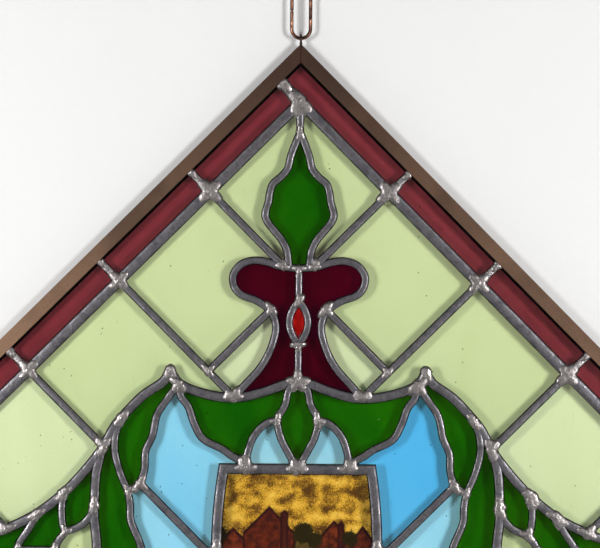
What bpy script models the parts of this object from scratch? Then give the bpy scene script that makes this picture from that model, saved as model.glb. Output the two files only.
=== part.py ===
"""Square leaded glass panel that hangs by one corner from a chain.

The panel stands in the XZ plane and its front faces -Y. The origin is the place where a hook bears, under the
top of the upper chain link. All sizes are in metres. The design is drawn in units of half a lattice cell's
diagonal, as (x, z) from the middle of the panel, and only its left half is drawn.
"""

import math

import bmesh
import bpy
from mathutils import Vector
from mathutils.geometry import delaunay_2d_cdt, intersect_point_tri_2d

# The lattice and the border strip, measured along the sides of the square
CELL = 0.0890
BORDER = 0.0287

# Brass channel of the frame
FRAME_FACE = 0.0092
FRAME_SHEET = 0.0009
FRAME_EDGE_PLAY = 0.0005

# Lead strips: their depth, the heart between the grooves, and the face of each kind
CAME_DEPTH = 0.0050
CAME_HEART = 0.0016
BORDER_CAME = 0.0072
LATTICE_CAME = 0.0048
FIGURE_CAME = 0.0048
ARCH_CAME = 0.0062
GARLAND_CAME = 0.0062
PICTURE_CAME = 0.0068

# Glass, and the room that it has in the grooves
GLASS = 0.0030
PLAY = 0.0003

# Hanging eye in the top corner of the frame
EYE_WIRE = 0.0016
EYE_HOLE = 0.0036
EYE_SHANK = 0.0020
EYE_HEAD = 0.0034
EYE_HEAD_THICK = 0.0010

# Chain of long links
LINK_LENGTH = 0.0410
LINK_WIDTH = 0.0156
LINK_WIRE = 0.0025

# How far a straight chord may stand off the true curve of a lead
CHORD_SAG = 0.0011

UNIT = CELL / math.sqrt(2)
CORNER = 5
SIDE = CORNER * CELL + 2 * BORDER
FRAME_TIP = SIDE / math.sqrt(2)
FRAME_SLOT = CAME_DEPTH + 2 * PLAY
FRAME_DEPTH = FRAME_SLOT + 2 * FRAME_SHEET
PANEL_TIP = FRAME_TIP - (FRAME_SHEET + FRAME_EDGE_PLAY) * math.sqrt(2)

# Heights above the middle of the panel
EYE_OUTER = EYE_HOLE + 2 * EYE_WIRE
EYE_MIDDLE = FRAME_TIP + PLAY + EYE_OUTER / 2
EYE_TOP_INSIDE = EYE_MIDDLE + EYE_HOLE / 2
EYE_HEAD_TOP = FRAME_TIP - (FRAME_SHEET + PLAY) * math.sqrt(2) - EYE_HEAD / 2
NIPPED_END = min(EYE_HEAD_TOP - EYE_HEAD_THICK, PANEL_TIP) - PLAY
LOWER_LINK_MIDDLE = EYE_TOP_INSIDE - PLAY - LINK_WIRE + LINK_LENGTH / 2
LINK_PITCH = LINK_LENGTH - 2 * LINK_WIRE - PLAY
UPPER_LINK_MIDDLE = LOWER_LINK_MIDDLE + LINK_PITCH
HOOK_POINT = UPPER_LINK_MIDDLE + LINK_LENGTH / 2 - LINK_WIRE


# Scene, collections and materials

for old in list(bpy.data.objects):
    bpy.data.objects.remove(old)

parts = bpy.data.collections.new("leaded_glass_panel")
cutters = bpy.data.collections.new("cutters")
bpy.context.scene.collection.children.link(parts)
bpy.context.scene.collection.children.link(cutters)

panel_middle = bpy.data.objects.new("panel_middle", None)
panel_middle.location = (0, 0, -HOOK_POINT)
parts.objects.link(panel_middle)


def finish(name, colour, roughness, metallic=0.0, clear=0.0):
    """A Principled material; clear is the share of light that passes into it."""
    material = bpy.data.materials.new(name)
    material.use_nodes = True
    shader = material.node_tree.nodes["Principled BSDF"]
    shader.inputs["Base Color"].default_value = (*colour, 1)
    shader.inputs["Roughness"].default_value = roughness
    shader.inputs["Metallic"].default_value = metallic
    shader.inputs["Transmission Weight"].default_value = clear
    return material


BROWN_BRASS = finish("browned_brass", (0.13, 0.07, 0.045), 0.45, metallic=0.9)
COPPER_WIRE = finish("copper_wire", (0.32, 0.14, 0.08), 0.35, metallic=1.0)
LEAD = finish("lead", (0.13, 0.12, 0.14), 0.5, metallic=0.8)
MAROON_GLASS = finish("maroon_glass", (0.23, 0.03, 0.04), 0.05, clear=0.9)
PALE_GREEN_GLASS = finish("pale_green_glass", (0.57, 0.67, 0.31), 0.05, clear=0.9)
DEEP_GREEN_GLASS = finish("deep_green_glass", (0.01, 0.12, 0.0), 0.05, clear=0.9)
DARK_RED_GLASS = finish("dark_red_glass", (0.06, 0.0, 0.01), 0.05, clear=0.9)
RED_GLASS = finish("red_glass", (0.6, 0.0, 0.0), 0.05, clear=0.9)
BLUE_GLASS = finish("blue_glass", (0.18, 0.6, 0.9), 0.05, clear=0.9)
PAINTED_GLASS = finish("painted_glass", (0.5, 0.3, 0.06), 0.4, clear=0.3)


# Centrelines of the leads


def mirrored(points):
    """The points on the other side of the panel's upright axis."""
    return [(-x, z) for x, z in points]


def upended(points):
    """The points on the other side of the panel's level axis."""
    return [(x, -z) for x, z in points]


def down_through(points):
    """A path from its upper end down to the level axis, and on to its own mirror image below."""
    return points + upended(points[-2::-1])


def curve_point(before, start, end, after, share):
    """A Catmull-Rom curve's point, at a share of the way from start to end."""
    slope_in = (end - before) / 2
    slope_out = (after - start) / 2
    square, cube = share**2, share**3
    return (
        start * (2 * cube - 3 * square + 1)
        + slope_in * (cube - 2 * square + share)
        + end * (3 * square - 2 * cube)
        + slope_out * (cube - square)
    )


def off_chord(point, start, end):
    """Distance of a point from the chord between two others."""
    chord = end - start
    share = max(0.0, min(1.0, (point - start).dot(chord) / max(chord.length_squared, 1e-12)))
    return (point - start - chord * share).length


def thinned(path, sag):
    """The few points of a path that keep it within sag of all the others."""
    worst = max(range(len(path)), key=lambda i: off_chord(path[i], path[0], path[-1]))
    if len(path) < 3 or off_chord(path[worst], path[0], path[-1]) < sag:
        return [path[0], path[-1]]
    return thinned(path[: worst + 1], sag)[:-1] + thinned(path[worst:], sag)


def smooth(points):
    """A smooth path in metres through points in units, with no more points than its curves need."""
    spots = [Vector(p) * UNIT for p in points]
    spots = [spots[0]] + spots + [spots[-1]]
    steps = 8
    path = [
        curve_point(*spots[i : i + 4], step / steps) for i in range(len(spots) - 3) for step in range(steps)
    ]
    return thinned(path + [spots[-1]], CHORD_SAG)


leads = []


def lay(came, points, curved=True, closed=False, heart=True, sides=True, below=False):
    """Lays one lead strip, with its mirror images to the right if sides is set and below if below is set.

    A strip without a heart is only its two faces, laid over a pane that runs on beneath them.
    """
    drawn = [points]
    drawn += [mirrored(p) for p in drawn] if sides else []
    drawn += [upended(p) for p in drawn] if below else []
    for shape in drawn:
        path = smooth(shape) if curved else [Vector(p) * UNIT for p in shape]
        leads.append({"face": came, "path": path, "closed": closed, "heart": heart})


def lay_border():
    """Border leads in a pinwheel, each running on past one corner to the frame, and the stubs between them."""
    reach = CORNER + BORDER / CELL
    for turn in range(4):
        cosine, sine = round(math.cos(turn * math.pi / 2)), round(math.sin(turn * math.pi / 2))

        def turned(points):
            return [(x * cosine - z * sine, x * sine + z * cosine) for x, z in points]

        past = BORDER / CELL
        lay(BORDER_CAME, turned([(CORNER, 0), (-past, CORNER + past)]), curved=False, sides=False)
        for node in range(1, CORNER):
            inner = (node, CORNER - node)
            outer = (node + reach - CORNER, reach - node)
            lay(LATTICE_CAME, turned([inner, outer]), curved=False, sides=False, heart=False)


def lay_lattice():
    """Straight leads from the border to the figures, and the plain lattice of the lower corner."""
    lay(LATTICE_CAME, [(0, 5), (0, 4.66)], curved=False, sides=False)
    lay(LATTICE_CAME, [(-1, 4), (-0.17, 3.17)], curved=False)
    lay(LATTICE_CAME, [(-2, 3), (-0.72, 1.72)], curved=False, below=True)
    lay(LATTICE_CAME, [(-0.30, 2.70), (-1, 2)], curved=False)
    lay(LATTICE_CAME, [(-3, 2), (-2.156, 1.156)], curved=False)
    lay(LATTICE_CAME, [(-4, 1), (-3.23, 0.23)], curved=False)
    lay(LATTICE_CAME, [(-3, -2), (-2.156, -1.156)], curved=False, heart=False)
    lay(LATTICE_CAME, [(-4, -1), (-3.23, -0.23)], curved=False, heart=False)
    lay(LATTICE_CAME, [(-1, -4), (1, -2)], curved=False, heart=False)
    lay(FIGURE_CAME, [(-1.75, 0.75), (-1, 0), (-0.893, 0)], curved=False)


def lay_finial():
    """Flame, fleur and gem above the arch."""
    lay(FIGURE_CAME, [
        (0, 4.66), (-0.045, 4.55), (-0.10, 4.40), (-0.135, 4.26), (-0.21, 4.165), (-0.295, 4.09), (-0.33, 3.99),
        (-0.345, 3.89), (-0.38, 3.75), (-0.35, 3.66), (-0.27, 3.56), (-0.19, 3.46), (-0.135, 3.34), (-0.115, 3.17),
    ])
    lay(FIGURE_CAME, [
        (0, 3.15), (-0.20, 3.17), (-0.36, 3.22), (-0.51, 3.235), (-0.65, 3.185), (-0.73, 3.07), (-0.715, 2.94),
        (-0.63, 2.85), (-0.47, 2.79), (-0.34, 2.70), (-0.265, 2.58), (-0.255, 2.43), (-0.32, 2.22), (-0.43, 2.03),
        (-0.60, 1.84), (-0.70, 1.72),
    ])
    lay(FIGURE_CAME, [(0, 3.15), (0, 2.79)], curved=False, sides=False)
    lay(FIGURE_CAME, [(0, 2.31), (0, 1.90)], curved=False, sides=False)
    gem_left = [(-0.105 * (1 - t * t), 2.55 + 0.24 * t) for t in (1, 0.6, 0.2, -0.2, -0.6, -1)]
    lay(FIGURE_CAME, gem_left + mirrored(gem_left[-2:0:-1]), curved=False, closed=True, sides=False)


def lay_arch():
    """Arch over the picture, the leaves that hang from it and the lozenge between them."""
    arch = [
        (-1.42, 2.01), (-1.33, 1.87), (-1.13, 1.775), (-0.85, 1.715), (-0.60, 1.72), (-0.34, 1.79), (-0.14, 1.865),
        (0, 1.89),
    ]
    lay(ARCH_CAME, arch + mirrored(arch[-2::-1]), sides=False, below=True)
    lay(FIGURE_CAME, [
        (-1.33, 1.86), (-1.30, 1.72), (-1.215, 1.60), (-1.15, 1.42), (-1.05, 1.25), (-0.84, 1.14), (-0.74, 1.07),
        (-0.64, 1.01), (-0.57, 0.93),
    ], below=True)
    lozenge = [(-0.04, 1.89), (-0.11, 1.78), (-0.14, 1.64), (-0.22, 1.47), (-0.19, 1.28), (-0.10, 1.10), (0, 0.92)]
    lay(FIGURE_CAME, lozenge)
    lay(FIGURE_CAME, [(0, -1.89), (0, -0.92)], curved=False, sides=False)
    lay(FIGURE_CAME, [(-0.22, 1.47), (-0.36, 1.42), (-0.49, 1.28), (-0.56, 1.08), (-0.57, 0.93)])


def lay_picture_surround():
    """Heavy lead around the picture: level above and below, bowed out at the sides."""
    bowed = [(-0.82 - 0.073 * (1 - t * t), 0.92 * t) for t in (1, 0.75, 0.45, 0.15, -0.15, -0.45, -0.75, -1)]
    lay(PICTURE_CAME, bowed + mirrored(bowed[::-1]), curved=False, closed=True, sides=False)


def lay_garland():
    """Garland of leaves on each side, drawn down to its point at the panel's level axis."""
    lay(GARLAND_CAME, [
        (-1.42, 2.01), (-1.50, 1.88), (-1.72, 1.725), (-1.91, 1.53), (-2.04, 1.37), (-2.17, 1.13), (-2.38, 0.86),
        (-2.62, 0.61), (-2.91, 0.39), (-3.22, 0.235), (-3.55, 0.11), (-3.87, 0),
    ], below=True)
    lay(FIGURE_CAME, [(-1.96, 1.47), (-2.02, 1.30), (-2.03, 1.10), (-1.97, 0.87), (-1.88, 0.66)], below=True)
    lay(FIGURE_CAME, [
        (-1.33, 1.86), (-1.455, 1.685), (-1.565, 1.51), (-1.615, 1.28), (-1.69, 1.10), (-1.70, 0.90), (-1.765, 0.74),
        (-1.88, 0.66),
    ])
    lay(FIGURE_CAME, down_through([(-1.88, 0.66), (-1.855, 0.50), (-1.845, 0.33), (-1.75, 0.10), (-1.725, 0)]))
    lay(GARLAND_CAME, down_through([(-2.18, 1.11), (-2.235, 0.85), (-2.25, 0.60), (-2.255, 0.40), (-2.22, 0)]))
    lay(FIGURE_CAME, [(-2.60, 0.63), (-2.615, 0.47), (-2.605, 0.30), (-2.575, 0.20)], below=True)
    lay(FIGURE_CAME, [(-2.575, 0.20), (-2.41, 0.27), (-2.30, 0.38), (-2.255, 0.50)], below=True)
    lay(FIGURE_CAME, down_through([(-2.575, 0.20), (-2.65, 0.10), (-2.68, 0)]))
    lay(FIGURE_CAME, down_through([(-2.89, 0.40), (-2.97, 0.25), (-3.08, 0.08), (-3.10, 0)]))
    lay(FIGURE_CAME, [(-3.10, 0), (-2.68, 0)], curved=False, heart=False)


def nearest_run(end, lead):
    """The nearest spot to a lead's end on the others, between their own ends, and how far off it is."""
    spots = []
    for other in leads:
        path = other["path"] + other["path"][:1] * other["closed"]
        for a, b in zip(path, path[1:]):
            if other is lead:
                continue
            run = b - a
            share = (end - a).dot(run) / run.length_squared
            spot = a + run * max(0.0, min(1.0, share))
            loose_end = not other["closed"] and min((spot - path[0]).length, (spot - path[-1]).length) < PLAY
            if not loose_end:
                spots.append(((spot - end).length, spot))
    return min(spots, key=lambda found: found[0])


def close_joints():
    """Brings each lead's ends onto the centrelines of the leads that they meet."""
    for lead in leads:
        for i in (0, -1):
            gap, spot = nearest_run(lead["path"][i], lead)
            if not lead["closed"] and gap < lead["face"] / 2:
                lead["path"][i] = spot


lay_border()
lay_lattice()
lay_finial()
lay_arch()
lay_picture_surround()
lay_garland()
close_joints()


# Panes: which glass each is, and a spot in each opening that it fills

PANES = {}


def pane(name, glass, *spots, sides=True):
    """Names a pane by the openings that it fills; with sides set, there is one on the left and one on the right."""
    if sides:
        PANES[f"{name}_left"] = (glass, list(spots))
        PANES[f"{name}_right"] = (glass, mirrored(spots))
    else:
        PANES[name] = (glass, list(spots))


def strip_spots(across, along):
    """A spot in each opening of the border strip on one side of the square."""
    middle = CORNER + BORDER / CELL
    steps = [node + 0.5 for node in range(CORNER)]
    return [(across * step, along * (middle - step)) for step in steps]


pane("border_strip_upper_left", MAROON_GLASS, *strip_spots(-1, 1), sides=False)
pane("border_strip_upper_right", MAROON_GLASS, *strip_spots(1, 1), sides=False)
pane("border_strip_lower_left", MAROON_GLASS, *strip_spots(-1, -1), sides=False)
pane("border_strip_lower_right", MAROON_GLASS, *strip_spots(1, -1), sides=False)
pane("quarry_top", PALE_GREEN_GLASS, (-0.55, 4.1))
pane("quarry_upper", PALE_GREEN_GLASS, (-1.2, 3.0))
pane("quarry_under_scroll", PALE_GREEN_GLASS, (-0.62, 2.15))
pane("quarry_shoulder", PALE_GREEN_GLASS, (-2.0, 2.0))
pane("quarry_side", PALE_GREEN_GLASS, (-3.0, 1.2))
pane("quarry_corner", PALE_GREEN_GLASS, (-4.2, 0), (-3.0, -1.2), (-2.0, -2.0))
pane("quarry_bottom", PALE_GREEN_GLASS, (0, -4), (-1, -3), (1, -3), (0, -2.4), sides=False)
pane("finial_flame", DEEP_GREEN_GLASS, (0, 3.8), sides=False)
pane("finial_scroll", DARK_RED_GLASS, (-0.4, 3.0))
pane("finial_gem", RED_GLASS, (0, 2.55), sides=False)
pane("arch_leaf", DEEP_GREEN_GLASS, (-0.7, 1.45))
pane("arch_lozenge", DEEP_GREEN_GLASS, (0, 1.45), sides=False)
pane("sky_triangle", BLUE_GLASS, (-0.32, 1.15))
pane("sky_upper", BLUE_GLASS, (-1.3, 1.0))
pane("sky_lower", BLUE_GLASS, (-1.3, -1.0))
pane("side_leaf", DEEP_GREEN_GLASS, (-1.78, 1.3))
pane("long_leaf", DEEP_GREEN_GLASS, (-2.05, 0.3))
pane("small_leaf_upper", DEEP_GREEN_GLASS, (-2.42, 0.6))
pane("small_leaf_lower", DEEP_GREEN_GLASS, (-2.42, -0.6))
pane("forked_leaf", DEEP_GREEN_GLASS, (-2.8, 0.25), (-2.8, -0.25))
pane("tip_leaf", DEEP_GREEN_GLASS, (-3.3, 0.03))
pane("garland_light", PALE_GREEN_GLASS, (-2.42, 0))
pane("swag_leaf", DEEP_GREEN_GLASS, (-0.7, -1.45))
pane("painted_picture", PAINTED_GLASS, (0, 0), sides=False)


# Outlines: the plan of the panel is cut up by its leads


def panel_outline(grown=0.0):
    """The panel's square, standing on a corner, with its four corners nipped off."""
    tip = PANEL_TIP + grown * math.sqrt(2)
    end = NIPPED_END + grown
    rest = tip - end
    quarter = [(rest, end), (-rest, end), (-end, rest), (-end, -rest)]
    return [Vector(p) for p in quarter + [(-x, -z) for x, z in quarter]]


def strip_faces(lead, half):
    """Four-cornered faces that cover one lead, mitred where its centreline turns."""
    path, closed = lead["path"], lead["closed"]
    count = len(path)
    rims = []
    for i, point in enumerate(path):
        before = path[i - 1] if i > 0 or closed else None
        after = path[(i + 1) % count] if i < count - 1 or closed else None
        ways = [(b - a).normalized() for a, b in ((before, point), (point, after)) if a and b]
        normals = [Vector((-way.y, way.x)) for way in ways]
        mitre = sum(normals, Vector((0, 0))).normalized()
        reach = half / mitre.dot(normals[0])
        rims.append((point - mitre * reach, point + mitre * reach))
    last = count if closed else count - 1
    return [(rims[i][0], rims[(i + 1) % count][0], rims[(i + 1) % count][1], rims[i][1]) for i in range(last)]


class Plan:
    """The panel's plan, cut into triangles along the edges of the leads."""

    def __init__(self, outline, covering):
        corners, faces = [], []
        for face in [outline] + covering:
            faces.append(list(range(len(corners), len(corners) + len(face))))
            corners += face
        found = delaunay_2d_cdt(corners, [], faces, 1, 1e-7)
        self.points = found[0]
        origins = found[5]
        inside = [i for i in range(len(found[2])) if 0 in origins[i]]
        self.triangles = [found[2][i] for i in inside]
        self.free = [len(origins[i]) == 1 for i in inside]
        self.beside = {}
        for i, triangle in enumerate(self.triangles):
            for edge in zip(triangle, triangle[1:] + triangle[:1]):
                self.beside[edge] = i

    def opening(self, spot):
        """The triangles of the opening between leads that holds a spot."""
        start = next(
            i
            for i, triangle in enumerate(self.triangles)
            if intersect_point_tri_2d(spot, *(self.points[p] for p in triangle))
        )
        found, waiting = set(), [start]
        while waiting:
            here = waiting.pop()
            if here in found or not self.free[here]:
                continue
            found.add(here)
            triangle = self.triangles[here]
            for a, b in zip(triangle, triangle[1:] + triangle[:1]):
                if (b, a) in self.beside:
                    waiting.append(self.beside[b, a])
        return found

    def outlines(self, chosen):
        """Closed outlines around the chosen triangles."""
        onward = {}
        for i in chosen:
            triangle = self.triangles[i]
            for a, b in zip(triangle, triangle[1:] + triangle[:1]):
                if self.beside.get((b, a)) not in chosen:
                    onward[a] = b
        loops = []
        while onward:
            start, here = onward.popitem()
            loop = [start]
            while here != start:
                loop.append(here)
                here = onward.pop(here)
            loops.append(without_straight_points([self.points[p] for p in loop]))
        return loops


def without_straight_points(loop):
    """A closed outline without the points that lie on a straight run of it."""
    least = 0.00002
    kept = list(loop)
    i = 0
    while i < len(kept):
        if off_chord(kept[i], kept[i - 1], kept[(i + 1) % len(kept)]) < least:
            del kept[i]
        else:
            i += 1
    return kept


def covering(room, hearts):
    """The strips' faces, or only their hearts with room on each side."""
    faces = []
    for lead in leads:
        half = (CAME_HEART if hearts else lead["face"]) / 2 + room
        if lead["heart"] or not hearts:
            faces += strip_faces(lead, half)
    return faces


face_plan = Plan(panel_outline(), covering(0, hearts=False))
groove_plan = Plan(panel_outline(grown=0.001), covering(0, hearts=True))
glass_plan = Plan(panel_outline(), covering(PLAY, hearts=True))


# Solids


def place(thing, home=parts):
    """Puts an object in its collection, and on the panel's middle."""
    home.objects.link(thing)
    thing.parent = panel_middle
    if home is not parts:
        thing.hide_render = True
        thing.display_type = "WIRE"
    return thing


def flat_piece(name, outlines, thickness, material, home=parts):
    """A flat piece in the panel's plane, from closed outlines, with the thickness centred on the plane."""
    curve = bpy.data.curves.new(name, "CURVE")
    curve.dimensions = "2D"
    curve.fill_mode = "BOTH"
    curve.extrude = thickness / 2
    for outline in outlines:
        spline = curve.splines.new("POLY")
        spline.points.add(len(outline) - 1)
        for point, corner in zip(spline.points, outline):
            point.co = (corner[0], corner[1], 0, 1)
        spline.use_cyclic_u = True
    curve.materials.append(material)
    piece = bpy.data.objects.new(name, curve)
    piece.rotation_euler = (math.pi / 2, 0, 0)
    return place(piece, home)


def as_mesh(piece):
    """The same piece as a closed mesh, in place of its curve."""
    bpy.context.view_layer.update()
    shown = piece.evaluated_get(bpy.context.evaluated_depsgraph_get())
    mesh = bpy.data.meshes.new_from_object(shown)
    loose = bmesh.new()
    loose.from_mesh(mesh)
    bmesh.ops.remove_doubles(loose, verts=loose.verts, dist=1e-6)
    bmesh.ops.recalc_face_normals(loose, faces=loose.faces)
    loose.to_mesh(mesh)
    loose.free()
    name, home, turn, spot = piece.name, piece.users_collection[0], piece.rotation_euler.copy(), piece.location.copy()
    bpy.data.objects.remove(piece)
    solid = bpy.data.objects.new(name, mesh)
    solid.rotation_euler = turn
    solid.location = spot
    return place(solid, home)


def cut(piece, cutter):
    """Cuts a solid with another, or with all the solids of a collection."""
    boolean = piece.modifiers.new(f"cut_{cutter.name}", "BOOLEAN")
    boolean.operation = "DIFFERENCE"
    boolean.solver = "EXACT"
    if isinstance(cutter, bpy.types.Collection):
        boolean.operand_type = "COLLECTION"
        boolean.collection = cutter
    else:
        boolean.object = cutter


def join(piece, other):
    """Joins another solid to this one."""
    boolean = piece.modifiers.new(f"join_{other.name}", "BOOLEAN")
    boolean.operation = "UNION"
    boolean.solver = "EXACT"
    boolean.object = other


def merge_flat_faces(piece):
    """Merges the slivers that cutting leaves on flat faces."""
    dissolve = piece.modifiers.new("merge_flat_faces", "DECIMATE")
    dissolve.decimate_type = "DISSOLVE"
    dissolve.angle_limit = math.radians(0.5)


def round_bar(name, diameter, length, middle, sides, home):
    """An upright round bar around the panel's axis."""
    mesh = bpy.data.meshes.new(name)
    shape = bmesh.new()
    bmesh.ops.create_cone(
        shape, cap_ends=True, segments=sides, radius1=diameter / 2, radius2=diameter / 2, depth=length
    )
    shape.to_mesh(mesh)
    shape.free()
    bar = bpy.data.objects.new(name, mesh)
    bar.location = (0, 0, middle)
    return place(bar, home)


def make_glass():
    """One flat pane for each name."""
    for name, (glass, spots) in PANES.items():
        flat_piece(name, glass_plan.outlines(glass_plan.opening(Vector(spots[0]) * UNIT)), GLASS, glass)


def make_lead_net():
    """All the lead strips, soldered together: open at the panes and grooved around them."""
    lead = set(range(len(face_plan.triangles)))
    grooves = bpy.data.collections.new("grooves")
    cutters.children.link(grooves)
    for name, (_, spots) in PANES.items():
        for spot in spots:
            lead -= face_plan.opening(Vector(spot) * UNIT)
        groove = groove_plan.outlines(groove_plan.opening(Vector(spots[0]) * UNIT))
        as_mesh(flat_piece(f"groove_{name}", groove, GLASS + 2 * PLAY, LEAD, grooves))
    net = as_mesh(flat_piece("lead_net", face_plan.outlines(lead), CAME_DEPTH, LEAD))
    cut(net, grooves)
    merge_flat_faces(net)


def make_frame():
    """Four lengths of channel, mitred at the corners, with a hole for the eye's shank in the top mitre."""
    shank_hole = round_bar("shank_hole", EYE_SHANK + 2 * PLAY, 8 * FRAME_SHEET, FRAME_TIP, 16, cutters)
    gap = PLAY / math.sqrt(2)
    names = ["frame_upper_left", "frame_lower_left", "frame_lower_right", "frame_upper_right"]
    for turn, name in enumerate(names):
        quarter = Vector((math.cos(turn * math.pi / 2), math.sin(turn * math.pi / 2)))
        start = Vector((-quarter.y, quarter.x))
        end = -quarter
        along = (end - start).normalized()
        inward = -(start + end).normalized()
        outer = [start * FRAME_TIP + along * gap, end * FRAME_TIP - along * gap]
        shift = [along * FRAME_FACE, -along * FRAME_FACE]
        inner = [point + inward * FRAME_FACE + move for point, move in zip(outer, shift)]
        bar = as_mesh(flat_piece(name, [[outer[0], outer[1], inner[1], inner[0]]], FRAME_DEPTH, BROWN_BRASS))
        floor = [point + inward * FRAME_SHEET for point in outer]
        past = [point + inward * FRAME_FACE * 2 for point in outer]
        slot = flat_piece(f"slot_{turn}", [[floor[0] - along * FRAME_FACE, floor[1] + along * FRAME_FACE,
                                            past[1] + along * FRAME_FACE, past[0] - along * FRAME_FACE]],
                          FRAME_SLOT, BROWN_BRASS, cutters)
        cut(bar, as_mesh(slot))
        if "upper" in name:
            cut(bar, shank_hole)


def make_eye():
    """A wire eye, seen edge-on from the front, on a headed shank through the top mitre."""
    ring_radius = (EYE_HOLE + EYE_WIRE) / 2
    bpy.ops.mesh.primitive_torus_add(
        major_radius=ring_radius, minor_radius=EYE_WIRE / 2, major_segments=16, minor_segments=6
    )
    eye = bpy.context.object
    eye.name = "hanging_eye"
    for collection in list(eye.users_collection):
        collection.objects.unlink(eye)
    eye.rotation_euler = (0, math.pi / 2, 0)
    eye.location = (0, 0, EYE_MIDDLE)
    eye.data.materials.append(COPPER_WIRE)
    eye.data.shade_smooth()
    place(eye)
    top = EYE_MIDDLE - ring_radius
    bottom = EYE_HEAD_TOP - EYE_HEAD_THICK / 2
    join(eye, round_bar("shank", EYE_SHANK, top - bottom, (top + bottom) / 2, 8, cutters))
    join(eye, round_bar("shank_head", EYE_HEAD, EYE_HEAD_THICK, bottom, 12, cutters))


def make_link(name, middle, turned):
    """One long link of round wire; turned sets it edge-on to the front."""
    end_radius = (LINK_WIDTH - LINK_WIRE) / 2
    straight = LINK_LENGTH - LINK_WIDTH
    steps = 6
    curve = bpy.data.curves.new(name, "CURVE")
    curve.dimensions = "3D"
    curve.bevel_depth = LINK_WIRE / 2
    curve.bevel_resolution = 2
    spline = curve.splines.new("POLY")
    spline.points.add(2 * steps + 1)
    for i, point in enumerate(spline.points):
        upper = i <= steps
        angle = math.pi * (i if upper else i - 1) / steps
        height = straight / 2 if upper else -straight / 2
        point.co = (end_radius * math.cos(angle), 0, height + end_radius * math.sin(angle), 1)
    spline.use_cyclic_u = True
    curve.materials.append(COPPER_WIRE)
    link = bpy.data.objects.new(name, curve)
    link.rotation_euler = (0, 0, math.pi / 2 if turned else 0)
    link.location = (0, 0, middle)
    place(link)


make_glass()
make_lead_net()
make_frame()
make_eye()
make_link("chain_link_lower", LOWER_LINK_MIDDLE, turned=False)
make_link("chain_link_upper", UPPER_LINK_MIDDLE, turned=True)
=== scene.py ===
import math
import random

import bmesh
import bpy
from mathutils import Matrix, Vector, noise


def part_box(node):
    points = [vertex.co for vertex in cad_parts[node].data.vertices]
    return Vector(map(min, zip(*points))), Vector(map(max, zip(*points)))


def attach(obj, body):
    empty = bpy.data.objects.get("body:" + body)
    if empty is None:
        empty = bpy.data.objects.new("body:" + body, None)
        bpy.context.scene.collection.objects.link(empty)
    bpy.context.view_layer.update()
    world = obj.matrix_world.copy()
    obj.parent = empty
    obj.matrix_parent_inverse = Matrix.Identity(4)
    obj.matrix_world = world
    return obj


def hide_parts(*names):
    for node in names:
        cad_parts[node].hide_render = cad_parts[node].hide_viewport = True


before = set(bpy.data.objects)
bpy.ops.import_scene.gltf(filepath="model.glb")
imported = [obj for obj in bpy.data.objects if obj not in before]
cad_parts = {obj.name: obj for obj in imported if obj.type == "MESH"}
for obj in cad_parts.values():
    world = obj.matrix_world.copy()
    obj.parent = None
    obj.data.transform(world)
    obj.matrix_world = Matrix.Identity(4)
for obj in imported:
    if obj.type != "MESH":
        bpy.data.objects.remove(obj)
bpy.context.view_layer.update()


# Panes of hand-rolled sheet glass, each cut from a sheet that is coloured right through and held loose in the
# grooves of the leads. The sheets keep a slow ripple from the roller, faint streaks and a few trapped seeds of air.

WALL_WHITE = 0.94
GLASS_INDEX = 1.45
SHEET_ROUGHNESS = 0.02
RIPPLE_DEPTH = 0.00035


def painted(red, green, blue):
    """The working colour of a shade given from 0 to 255, as it looks on a screen."""
    shades = [value / 255 for value in (red, green, blue)]
    return (*[s / 12.92 if s < 0.04045 else ((s + 0.055) / 1.055) ** 2.4 for s in shades], 1)


def stain(red, green, blue):
    """What one pass through a pane lets by, so that a white wall, lit and seen through it, has this shade."""
    return (*[min(0.99, math.sqrt(value / WALL_WHITE)) for value in painted(red, green, blue)[:3]], 1)


def shader_node(tree, kind, feeds=None, **settings):
    """One node of a material or an effect; each feed is a plain value or another node's output."""
    made = tree.nodes.new("ShaderNode" + kind)
    for setting, value in settings.items():
        setattr(made, setting, value)
    for socket, feed in (feeds or {}).items():
        if isinstance(feed, bpy.types.NodeSocket):
            tree.links.new(feed, made.inputs[socket])
        else:
            made.inputs[socket].default_value = feed
    return made


def reckoned(tree, operation, *feeds, clamp=False):
    """The outcome of one sum in a shader."""
    return shader_node(tree, "Math", dict(enumerate(feeds)), operation=operation, use_clamp=clamp).outputs[0]


def stretched(tree, value, low, high, to_low=0.0, to_high=1.0):
    """A value moved from one range to another, and held inside it."""
    feeds = {"Value": value, "From Min": low, "From Max": high, "To Min": to_low, "To Max": to_high}
    return shader_node(tree, "MapRange", feeds).outputs["Result"]


def tinted(tree, share, first, second, way="MIX"):
    """Two colours mixed by a share from 0 to 1."""
    return shader_node(tree, "Mix", {0: share, 6: first, 7: second}, data_type="RGBA", blend_type=way).outputs[2]


def mottle(tree, place, scale, detail=3.0, distortion=0.0):
    """Cloudy noise with about so many patches to a metre."""
    feeds = {"Vector": place, "Scale": scale, "Detail": detail, "Distortion": distortion}
    return shader_node(tree, "TexNoise", feeds).outputs["Fac"]


def effect(name, inputs, outputs):
    """An empty shader effect with named sockets, and its own input and output nodes."""
    group = bpy.data.node_groups.new(name, "ShaderNodeTree")
    for label, kind, value in inputs:
        group.interface.new_socket(name=label, in_out="INPUT", socket_type="NodeSocket" + kind).default_value = value
    for label, kind in outputs:
        group.interface.new_socket(name=label, in_out="OUTPUT", socket_type="NodeSocket" + kind)
    return group, group.nodes.new("NodeGroupInput").outputs, group.nodes.new("NodeGroupOutput").inputs


def fresh_material(name):
    """A new material with no nodes yet, and its node tree."""
    material = bpy.data.materials.new(name)
    material.use_nodes = True
    material.node_tree.nodes.clear()
    return material, material.node_tree


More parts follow.
